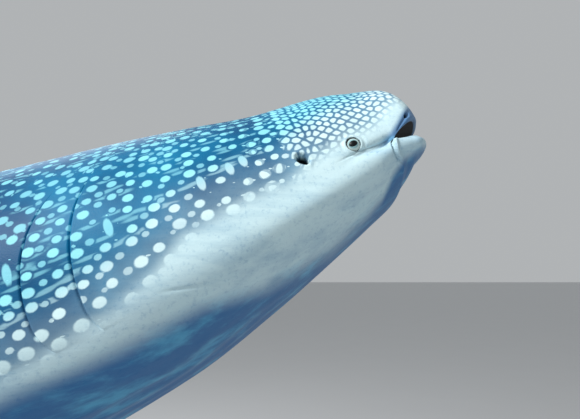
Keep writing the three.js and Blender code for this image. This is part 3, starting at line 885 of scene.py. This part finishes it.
# A closed mesh from rows of rings, its ends capped. The map is given by row and by column, with
# one column more than the ring has; marks are per-point values.
def ringMesh(name, rings, bake, marks):
    rowCount, count = rings.shape[:2]
    verts = np.concatenate([rings.reshape(-1, 3), rings[:1].mean(axis=1), rings[-1:].mean(axis=1)])
    r, c = np.meshgrid(np.arange(rowCount - 1), np.arange(count), indexing="ij")
    r, c = r.ravel(), c.ravel()
    following = (c + 1) % count
    quads = np.stack([r * count + c, r * count + following], 1)
    quads = np.concatenate([quads, quads[:, ::-1] + count], axis=1)
    cols = np.arange(count)
    nextCol = (cols + 1) % count
    lastRow = (rowCount - 1) * count
    startCap = np.stack([np.full(count, rowCount * count), nextCol, cols], 1)
    endCap = np.stack([np.full(count, rowCount * count + 1), lastRow + cols, lastRow + nextCol], 1)
    world = toWorld(verts)
    a, b, d = (world[quads[:, k]] for k in (0, 1, 3))
    volume = np.einsum("ij,ij->i", a, np.cross(b, d)).sum()
    loops = np.concatenate([quads.ravel(), startCap.ravel(), endCap.ravel()])
    sizes = np.concatenate([np.full(len(quads), 4), np.full(2 * count, 3)])
    first, last = bake[0], bake[-1]
    corners = [bake[r + dr, c + dc] for dr, dc in ((0, 0), (0, 1), (1, 1), (1, 0))]
    startMap = np.stack([first[:-1] * 0 + first.mean(axis=0), first[1:], first[:-1]], 1)
    endMap = np.stack([last[:-1] * 0 + last.mean(axis=0), last[:-1], last[1:]], 1)
    maps = (np.stack(corners, 1), startMap, endMap)
    cornerMap = np.concatenate([part.reshape(-1, 2) for part in maps])
    mesh = bpy.data.meshes.new(name)
    mesh.vertices.add(len(world))
    mesh.vertices.foreach_set("co", world.ravel())
    mesh.loops.add(len(loops))
    mesh.loops.foreach_set("vertex_index", loops.astype(np.int32))
    mesh.polygons.add(len(sizes))
    starts = np.concatenate([[0], np.cumsum(sizes)[:-1]])
    mesh.polygons.foreach_set("loop_start", starts.astype(np.int32))
    layer = mesh.uv_layers.new(name="OFBake")
    layer.data.foreach_set("uv", cornerMap.astype(np.float32).ravel())
    for key, values in marks.items():
        attribute = mesh.attributes.new(key, "FLOAT", "POINT")
        caps = [values[0].mean(), values[-1].mean()]
        attribute.data.foreach_set("value", np.append(values.ravel(), caps).astype(np.float32))
    mesh.update(calc_edges=True)
    mesh.validate()
    if volume < 0:
        mesh.flip_normals()
    made = bpy.data.objects.new(name, mesh)
    bpy.context.scene.collection.objects.link(made)
    return made


# a fin has spots of its own, on both its faces
def finSpots(p):
    places = []
    step = spots["finStep"]
    spanwise = np.linalg.norm(np.diff(p.mean(axis=1), axis=0), axis=-1)
    span = np.concatenate([[0], np.cumsum(spanwise)])
    number = 0
    for at in np.arange(step / 3, span[-1], step * 0.6):
        row = p[min(int(np.searchsorted(span, at)), len(p) - 1)]
        closed = np.concatenate([[0], np.cumsum(np.linalg.norm(np.diff(row, axis=0), axis=-1))])
        for k in range(int(closed[-1] / step)):
            place = (k + 0.5 * (number % 2) + 0.25 + rng.normal() * spots["jitter"]) * step
            co = row[min(int(np.searchsorted(closed, place)), len(row) - 1)]
            places.append((*co, number % 2, rng.random(), rng.random()))
        number += 1
    places = np.array(places)
    radius = spots["finRadius"] * np.where(places[:, 3] > 0.5, spots["finLittle"], 1.0)
    radius = keepApart(places, radius * mix(*spots["finSizes"], places[:, 4]), np.ones(len(places), bool))
    return spotFields(p, places, radius, mix(*spots["finTones"], places[:, 5]))


# Painted shade: the belly, the jaw and the snout's front are darkened as if in shade. Place and height
# of the lines below and in front of which they are, and how soft those edges are.
paintedShading = {
    "belly": np.array([
        (0, -0.72), (2.7, -0.72), (3.3, -0.9), (3.8, -1.3), (6.5, -1.9), (9.5, -1.8), (11.6, -1.3),
        (18, -1.35), (40, -2.4), (90, -1.2),
    ]),
    "softness": (0.3, 0.8),
    "softAlong": (2.6, 5.0),
    "edge": (-0.35, 1.0),
    "leadIn": 0.16,
    "leadInEdge": (-2.2, 0.0),
    "snout": np.array([(0, 1.5), (1.6, 0.89), (2.05, 0.71), (2.45, 0.47), (2.85, 0.3), (3.8, 0.2)]),
    "snoutShare": 0.9,
    "snoutEdge": (-0.12, 0.2),
    "snoutEnd": (2.9, 3.8),
    "finShare": 0.2,
}
# how pale the skin gets below the pattern: two steps, each with its share and its heights
paleSteps = ((0.68, -0.6, 0.5), (0.32, 0.1, 2.6))


# values that the skin's finish reads, for points of the straight body
def skinMarks(p, fields, pale, pit, under):
    dash = nearest(p, dashSeeds, np.array([1 / dashes["stretch"], 1, 1]))
    bar = nearest(p, bars, np.array([1.0, 1.0, 1 / barShape["stretch"]]))
    # 'pit' is the painted shade of hollows and creases, 'under' that of the belly, jaw and snout front
    names = ("spot", "light", "wall", "dash", "bar", "pale", "pit", "place", "under")
    return dict(zip(names, (*fields, dash, bar, pale, pit, p[..., 0], under)))


def bodyMarks():
    s = points[..., 0]
    rise = points[..., 2] - level(s)
    above = aboveEdge(points)
    pale = 1 - sum(share * smooth(above, low, high) for share, low, high in paleSteps)
    # painted shade: 'under' is high below the belly line, and in front of the snout line on the upper head
    beyond = heightOf(paintedShading["belly"], s) - rise
    under = smooth(beyond / mix(*paintedShading["softness"], smooth(s, *paintedShading["softAlong"])), *paintedShading["edge"])
    under = np.maximum(under, paintedShading["leadIn"] * smooth(beyond, *paintedShading["leadInEdge"]))
    ahead = smooth(heightOf(paintedShading["snout"], s) - rise, *paintedShading["snoutEdge"])
    ahead = ahead * (rise > 0) * (1 - smooth(s, *paintedShading["snoutEnd"]))
    under = np.maximum(under, paintedShading["snoutShare"] * ahead)
    fields = spotFields(points, seeds, spotRadius, spotTone)
    return skinMarks(points, fields, pale, np.clip(shade, 0, 1), under)


def finMarks(rings, pale):
    # a fin's pale underside gets a little of the painted shade
    return skinMarks(rings, finSpots(rings), pale, 0 * pale, paintedShading["finShare"] * pale)


# bake map of the body: the head and gills take half its length, the mouth's lining a patch above
bakeMap = {
    "headEnd": 22,
    "headShare": 0.5,
    "tall": 0.72,
    "margin": 0.003,
    "mouth": (0.005, 0.745, 0.12, 0.24),      # left, bottom, width, height
}


def bodyMap():
    end, share, margin = bakeMap["headEnd"], bakeMap["headShare"], bakeMap["margin"]
    behind = (rowPlace - end) / (shark["tailEnd"] - end)
    u = np.where(rowPlace < end, rowPlace / end * share, share + behind * (1 - share))
    v = np.arange(columnCount + 1) / columnCount
    across, along = np.meshgrid(margin + v * bakeMap["tall"], margin + (1 - 2 * margin) * u)
    bake = np.stack([along, across], -1)
    left, bottom, wide, tall = bakeMap["mouth"]
    across, along = np.meshgrid(v, np.linspace(0, 1, lipRow))
    bake[:lipRow] = np.stack([left + wide * along, bottom + tall * across], -1)
    return bake


def patchMap(rings, patch):
    left, bottom, wide, tall = patch
    across, along = np.meshgrid(np.linspace(0, 1, rings.shape[1] + 1), np.linspace(0, 1, rings.shape[0]))
    return np.stack([left + wide * across, bottom + tall * along], -1)


# the second half of a fin's ring is its underside
def finUnderside(rings, amount):
    half = finGrid["across"]
    under = between(np.arange(rings.shape[1]), half - 3, half + 5, 2 * half - 6, 2 * half - 1)
    return amount * np.repeat(under[None], rings.shape[0], axis=0)


def makeSkin():
    body = ringMesh("shark_skin", points, bodyMap(), bodyMarks())
    parts = []
    for name, fin in fins.items():
        for side, patch in zip((1, -1), fin["patches"]):
            rings = finPoints(fin) * (1, side, 1)
            pale = finUnderside(rings, fin.get("paleUnder", 0))
            parts.append(ringMesh(name, rings, patchMap(rings, patch), finMarks(rings, pale)))
    for name, lobe in lobes.items():
        rings = lobePoints(lobe)
        marks = finMarks(rings, finUnderside(rings, 0))
        parts.append(ringMesh("lobe_" + name, rings, patchMap(rings, lobe["patch"]), marks))
    for part in parts:
        join = body.modifiers.new("join", "BOOLEAN")
        join.operation = "UNION"
        join.solver = "MANIFOLD"
        join.object = part
    depsgraph = bpy.context.evaluated_depsgraph_get()
    joined = bpy.data.meshes.new_from_object(body.evaluated_get(depsgraph))
    old = body.data
    body.modifiers.clear()
    body.data = joined
    bpy.data.meshes.remove(old)
    joined.name = "shark_skin"
    for part in parts:
        bpy.data.objects.remove(part)
    joined.shade_smooth()
    return body


skin = makeSkin()
print("skin joined", len(skin.data.vertices), "points")
fleshNodes = [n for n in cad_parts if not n.startswith(("stand_", "eye_"))]
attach(skin, "root")
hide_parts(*fleshNodes)


# small helpers for node materials
def newMaterial(name):
    material = bpy.data.materials.new(name)
    material.use_nodes = True
    return material, material.node_tree, material.node_tree.nodes["Principled BSDF"]


# sets a socket, or links it to another
def feed(tree, socket, value):
    if isinstance(value, bpy.types.NodeSocket):
        tree.links.new(value, socket)
    elif socket.type == "RGBA":
        socket.default_value = (*value, 1.0)
    else:
        socket.default_value = value


def feedAll(tree, node, values):
    for key, value in values.items():
        feed(tree, node.inputs[key], value)


def valueOf(tree, name):
    node = tree.nodes.new("ShaderNodeAttribute")
    node.attribute_name = name
    return node.outputs["Fac"]


# 0 to 1 while the source goes over the span; over a span that falls it is 1 to 0
def rampOf(tree, source, span):
    node = tree.nodes.new("ShaderNodeMapRange")
    node.interpolation_type = "SMOOTHSTEP"
    feedAll(tree, node, {"Value": source, "From Min": span[0], "From Max": span[1]})
    return node.outputs["Result"]


def mathOf(tree, operation, first, second, clamp=True):
    node = tree.nodes.new("ShaderNodeMath")
    node.operation = operation
    node.use_clamp = clamp
    feed(tree, node.inputs[0], first)
    feed(tree, node.inputs[1], second)
    return node.outputs[0]


def timesOf(tree, first, second):
    return mathOf(tree, "MULTIPLY", first, second)


# distance from the middle of two values, each divided by its own size
def lengthOf(tree, first, second, firstSize, secondSize):
    squares = []
    for value, size in ((first, firstSize), (second, secondSize)):
        scaled = mathOf(tree, "MULTIPLY", value, 1 / size, clamp=False)
        squares.append(mathOf(tree, "POWER", scaled, 2.0, clamp=False))
    return mathOf(tree, "SQRT", mathOf(tree, "ADD", *squares, clamp=False), 0.0, clamp=False)


def mixColour(tree, share, first, second):
    node = tree.nodes.new("ShaderNodeMix")
    node.data_type = "RGBA"
    sockets = {socket.name: socket for socket in node.inputs if socket.enabled}
    for key, value in (("Factor", share), ("A", first), ("B", second)):
        feed(tree, sockets[key], value)
    return [socket for socket in node.outputs if socket.enabled][0]


# noise in the object's own space, or drawn out along the body or another axis
def noiseOf(tree, scale, detail, roughness, stretch=None):
    source = tree.nodes.new("ShaderNodeTexCoord").outputs["Object"]
    if stretch:
        mapping = tree.nodes.new("ShaderNodeMapping")
        turn = (0, math.radians(shark["noseUp"]), 0)
        feedAll(tree, mapping, {"Vector": source, "Rotation": turn, "Scale": stretch})
        source = mapping.outputs["Vector"]
    node = tree.nodes.new("ShaderNodeTexNoise")
    feedAll(tree, node, {"Vector": source, "Scale": scale, "Detail": detail, "Roughness": roughness})
    return node.outputs["Fac"]


def bumpOf(tree, height, strength, distance):
    node = tree.nodes.new("ShaderNodeBump")
    feedAll(tree, node, {"Height": height, "Strength": strength, "Distance": distance})
    return node


# A noise is its scale, detail and roughness, and how it is drawn out. A pair is where a ramp begins
# and ends; those named like one of the skin's values are read from it.
skinFinish = {
    "back": (0.001, 0.075, 0.19),
    "backLight": (0.002, 0.175, 0.35),
    "backClouds": (0.35, 0.7),
    "spotHigh": (0.30, 0.82, 0.93),
    "spotLow": (0.72, 0.94, 0.96),
    "lowSpots": (0.0, 0.25),
    "spotEdge": (1.12, 0.80),
    "ragged": 0.35,
    "wall": (0.035, 0.12),        # the dark line between cells
    "place": (6.0, 10.0),         # where cells become spots
    "dash": (0.095, 0.04),
    "dashRoom": (1.15, 1.6),
    "dashShare": 0.42,
    "bar": (0.17, 0.12),
    "barShare": 0.7,
    "belly": (0.67, 0.88, 0.92),
    "bellyMark": (0.07, 0.27, 0.48),
    # painted shade of the belly, jaw and snout front, its lighter streaks, and how much of it is laid on
    "paintedBellyShade": (0.012, 0.125, 0.35),
    "paintedShadeStreak": (0.07, 0.36, 0.60),
    "shadeShare": 0.93,
    "wrinkleEdge": (0.42, 0.75),
    "wrinkleShare": 0.34,
    "speckEdge": (0.5, 0.78),
    "speckShare": 0.3,
    "streakEdge": (0.46, 0.72),
    "paleEdge": (0.05, 1.0),
    "paleClouds": 0.25,
    # painted shade in hollows, creases and the mouth: its colour, then the ramp that lays it on by 'pit'
    "paintedShade": (0.004, 0.009, 0.011),
    "pit": (0.25, 0.9),
    "roughness": 0.46,
    "gloss": 0.13,
    "grain": (38, 4, 0.6),
    "clouds": (3.2, 4, 0.55),
    "wrinkles": (13, 5, 0.62, (0.13, 1, 1)),
    "specks": (75, 3, 0.7),
    "streaks": (10, 5, 0.65, (0.09, 1, 1)),
    "denticles": (260, 2, 0.5),
    "denticleBump": (0.25, 0.002),
    "wrinkleBump": (0.35, 0.006),
}


def markRamp(tree, name):
    return rampOf(tree, valueOf(tree, name), skinFinish[name])


# how much of a pale mark is at a point: spots or cells, dashes, bars
def patternMark(tree):
    finish = skinFinish
    grain = mathOf(tree, "SUBTRACT", noiseOf(tree, *finish["grain"]), finish["ragged"])
    edge = mathOf(tree, "ADD", valueOf(tree, "spot"), timesOf(tree, grain, finish["ragged"]), clamp=False)
    spot = rampOf(tree, edge, finish["spotEdge"])
    spot = timesOf(tree, spot, mathOf(tree, "MAXIMUM", markRamp(tree, "wall"), markRamp(tree, "place")))
    spot = timesOf(tree, spot, valueOf(tree, "light"))
    dash = timesOf(tree, markRamp(tree, "dash"), rampOf(tree, edge, finish["dashRoom"]))
    dash = timesOf(tree, dash, finish["dashShare"])
    bar = timesOf(tree, markRamp(tree, "bar"), finish["barShare"])
    return mathOf(tree, "MAXIMUM", spot, mathOf(tree, "MAXIMUM", dash, bar))


# the pale skin below the pattern, with specks and wrinkles, and its painted shade, darker and streaked, where
# 'under' is high
def bellyColourWithShade(tree, wrinkles):
    finish = skinFinish
    wrinkled = timesOf(tree, rampOf(tree, wrinkles, finish["wrinkleEdge"]), finish["wrinkleShare"])
    specks = rampOf(tree, noiseOf(tree, *finish["specks"]), finish["speckEdge"])
    marked = mathOf(tree, "ADD", timesOf(tree, specks, finish["speckShare"]), wrinkled)
    pale = mixColour(tree, marked, finish["belly"], finish["bellyMark"])
    streaks = rampOf(tree, noiseOf(tree, *finish["streaks"]), finish["streakEdge"])
    # painted shade of the belly, jaw and snout front, with lighter streaks
    paintedShade = mixColour(tree, streaks, finish["paintedBellyShade"], finish["paintedShadeStreak"])
    return mixColour(tree, timesOf(tree, valueOf(tree, "under"), finish["shadeShare"]), pale, paintedShade)


def skinMaterial():
    finish = skinFinish
    material, tree, shader = newMaterial("shark hide")
    clouds = noiseOf(tree, *finish["clouds"])
    wrinkles = noiseOf(tree, *finish["wrinkles"])
    pale = valueOf(tree, "pale")
    back = mixColour(tree, rampOf(tree, clouds, finish["backClouds"]), finish["back"], finish["backLight"])
    spot = mixColour(tree, rampOf(tree, pale, finish["lowSpots"]), finish["spotHigh"], finish["spotLow"])
    tint = mixColour(tree, patternMark(tree), back, spot)
    cloudy = timesOf(tree, mathOf(tree, "SUBTRACT", clouds, 0.3), finish["paleClouds"])
    pale = rampOf(tree, mathOf(tree, "ADD", pale, cloudy, clamp=False), finish["paleEdge"])
    tint = mixColour(tree, pale, tint, bellyColourWithShade(tree, wrinkles))
    # painted shade in the hollows, creases and the mouth
    tint = mixColour(tree, markRamp(tree, "pit"), tint, finish["paintedShade"])
    denticles = bumpOf(tree, noiseOf(tree, *finish["denticles"]), *finish["denticleBump"])
    bumps = bumpOf(tree, wrinkles, *finish["wrinkleBump"])
    feed(tree, bumps.inputs["Normal"], denticles.outputs["Normal"])
    feedAll(tree, shader, {
        "Base Color": tint, "Roughness": finish["roughness"], "Specular IOR Level": finish["gloss"],
        "Normal": bumps.outputs["Normal"],
    })
    return material


skin.data.materials.clear()
skin.data.materials.append(skinMaterial())
print("skin finished")

eyeFinish = {
    "pupil": (0.003, 0.004, 0.005),
    "pupilEdge": (0.92, 1.06),
    "iris": ((0.16, 0.34, 0.38), (0.40, 0.62, 0.64)),
    "irisEdge": (0.9, 1.05),
    "white": ((0.50, 0.70, 0.70), (0.74, 0.84, 0.80)),
    "flecks": (420, 3, 0.6),
    "roughness": 0.4,
    "gloss": 0.2,
    "rings": 40,
    "ringPoints": 48,
    "patch": (0.02, 0.02, 0.96, 0.96),
}


# Eyes: a ball with a clear bulge in front, pale iris and oval dark pupil
def makeEye(name, side):
    out = surfaceOut(eyes["s"], eyes["angle"], side)
    centre = surfaceSpot(eyes["s"], eyes["angle"], side) - out * eyes["sunk"]
    ahead = np.array([1.0, 0.0, 0.0])
    up = np.cross(out, ahead)
    around = np.linspace(0, 2 * math.pi, eyeFinish["ringPoints"], endpoint=False)
    polar = np.linspace(0.02, math.pi - 0.02, eyeFinish["rings"])
    radius = eyes["radius"] * (1 + bump(polar, *eyes["bulge"]))
    spokes = ahead * np.cos(around)[:, None] + up * np.sin(around)[:, None]
    rings = spokes * (radius * np.sin(polar))[:, None, None]
    rings = centre + out * (radius * np.cos(polar))[:, None, None] + rings
    # the back half is moved out past the iris, so it stays white
    across = radius * np.sin(polar) + (polar > 1.6)
    marks = {"along": across[:, None] * np.cos(around), "up": across[:, None] * np.sin(around)}
    eye = ringMesh(name, rings, patchMap(rings, eyeFinish["patch"]), marks)
    eye.data.shade_smooth()
    return eye


def eyeMaterial():
    material, tree, shader = newMaterial("eye")
    # the pupil is a lying oval, the iris round
    along, up = valueOf(tree, "along"), valueOf(tree, "up")
    out = lengthOf(tree, along, up, eyes["iris"], eyes["iris"])
    oval = lengthOf(tree, along, up, *eyes["pupil"])
    flecks = noiseOf(tree, *eyeFinish["flecks"])
    iris = mixColour(tree, flecks, *eyeFinish["iris"])
    white = mixColour(tree, flecks, *eyeFinish["white"])
    colour = mixColour(tree, rampOf(tree, out, eyeFinish["irisEdge"]), iris, white)
    colour = mixColour(tree, rampOf(tree, oval, eyeFinish["pupilEdge"]), eyeFinish["pupil"], colour)
    feedAll(tree, shader, {
        "Base Color": colour, "Roughness": eyeFinish["roughness"], "Specular IOR Level": eyeFinish["gloss"],
    })
    return material


eyeball = eyeMaterial()
for name, side in (("eye_right", 1), ("eye_left", -1)):
    eye = makeEye(name.replace("eye", "eyeball"), side)
    eye.data.materials.append(eyeball)
    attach(eye, "root")
    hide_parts(name)
print("eyes set")

# Stand: the two colours of each finish, its noise, and what else it has
standFinish = {
    "paint": {
        "nodes": ("stand_base", "stand_foot_front", "stand_foot_rear"),
        "colours": ((0.036, 0.040, 0.044), (0.062, 0.067, 0.072)),
        "wear": (5, 5, 0.6),
        "dullness": (0.0, 1.6),
        "coat": 0.1,
        "orangePeel": (350, 2, 0.5),
        "bump": (0.2, 0.001),
    },
    "steel": {
        "nodes": ("stand_post_front", "stand_post_rear"),
        "colours": ((0.50, 0.51, 0.52), (0.66, 0.67, 0.68)),
        "brushing": (60, 3, 0.6, (1, 1, 0.03)),
        "roughness": (0.28, 0.45),
    },
    "pad": {
        "nodes": ("stand_saddle_front", "stand_saddle_rear"),
        "colours": ((0.016, 0.016, 0.017), (0.04, 0.04, 0.042)),
        "mottling": (40, 4, 0.6),
        "roughness": 0.8,
    },
}


def paintMaterial(finish):
    material, tree, shader = newMaterial("stand paint")
    wear = noiseOf(tree, *finish["wear"])
    peel = bumpOf(tree, noiseOf(tree, *finish["orangePeel"]), *finish["bump"])
    feedAll(tree, shader, {
        "Base Color": mixColour(tree, wear, *finish["colours"]), "Coat Weight": finish["coat"],
        "Roughness": rampOf(tree, wear, finish["dullness"]), "Normal": peel.outputs["Normal"],
    })
    return material


def steelMaterial(finish):
    material, tree, shader = newMaterial("brushed steel")
    brushed = noiseOf(tree, *finish["brushing"])
    rough = tree.nodes.new("ShaderNodeMapRange")
    least, most = finish["roughness"]
    feedAll(tree, rough, {"Value": brushed, "To Min": least, "To Max": most})
    feedAll(tree, shader, {
        "Base Color": mixColour(tree, brushed, *finish["colours"]), "Metallic": 1.0,
        "Roughness": rough.outputs["Result"],
    })
    return material


def padMaterial(finish):
    material, tree, shader = newMaterial("rubber pad")
    mottled = noiseOf(tree, *finish["mottling"])
    colour = mixColour(tree, mottled, *finish["colours"])
    feedAll(tree, shader, {"Base Color": colour, "Roughness": finish["roughness"]})
    return material


for kind, make in (("paint", paintMaterial), ("steel", steelMaterial), ("pad", padMaterial)):
    material = make(standFinish[kind])
    for name in standFinish[kind]["nodes"]:
        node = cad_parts[name]
        node.data.materials.clear()
        node.data.materials.append(material)
print("stand finished")

studio = {
    "floorReach": 400,
    "floor": (0.60, 0.61, 0.62),
    "floorDarker": 0.97,
    "floorNoise": (0.6, 2, 0.5),
    "floorRoughness": 0.7,
    "world": (0.84, 0.87, 0.89),
    "worldStrength": 0.52,
    # name, place, point it faces, size, power
    "lamps": (
        ("key", (-5.5, -6.5, 10.5), (0.4, 0, 3.2), 3.0, 1600),
        ("back", (-4.0, 7.0, 9.0), (-1, 0, 3), 5.0, 200),
    ),
}


def makeFloor():
    mesh = bpy.data.meshes.new("floor")
    r = studio["floorReach"]
    mesh.from_pydata([(-r, -r, 0), (r, -r, 0), (r, r, 0), (-r, r, 0)], [], [(0, 1, 2, 3)])
    floor = bpy.data.objects.new("floor", mesh)
    bpy.context.scene.collection.objects.link(floor)
    material, tree, shader = newMaterial("floor")
    darker = tuple(studio["floorDarker"] * value for value in studio["floor"])
    colour = mixColour(tree, noiseOf(tree, *studio["floorNoise"]), studio["floor"], darker)
    feedAll(tree, shader, {"Base Color": colour, "Roughness": studio["floorRoughness"]})
    mesh.materials.append(material)


def makeLight():
    world = bpy.data.worlds.new("studio")
    bpy.context.scene.world = world
    world.use_nodes = True
    tree = world.node_tree
    feedAll(tree, tree.nodes["Background"], {"Color": studio["world"], "Strength": studio["worldStrength"]})
    bpy.context.scene.view_settings.view_transform = "Standard"
    for name, place, target, size, power in studio["lamps"]:
        data = bpy.data.lights.new(name, "AREA")
        data.size = size
        data.energy = power
        lamp = bpy.data.objects.new(name, data)
        lamp.location = place
        lamp.rotation_euler = (Vector(target) - Vector(place)).to_track_quat("-Z", "Y").to_euler()
        bpy.context.scene.collection.objects.link(lamp)


makeFloor()
makeLight()
print("studio lit")
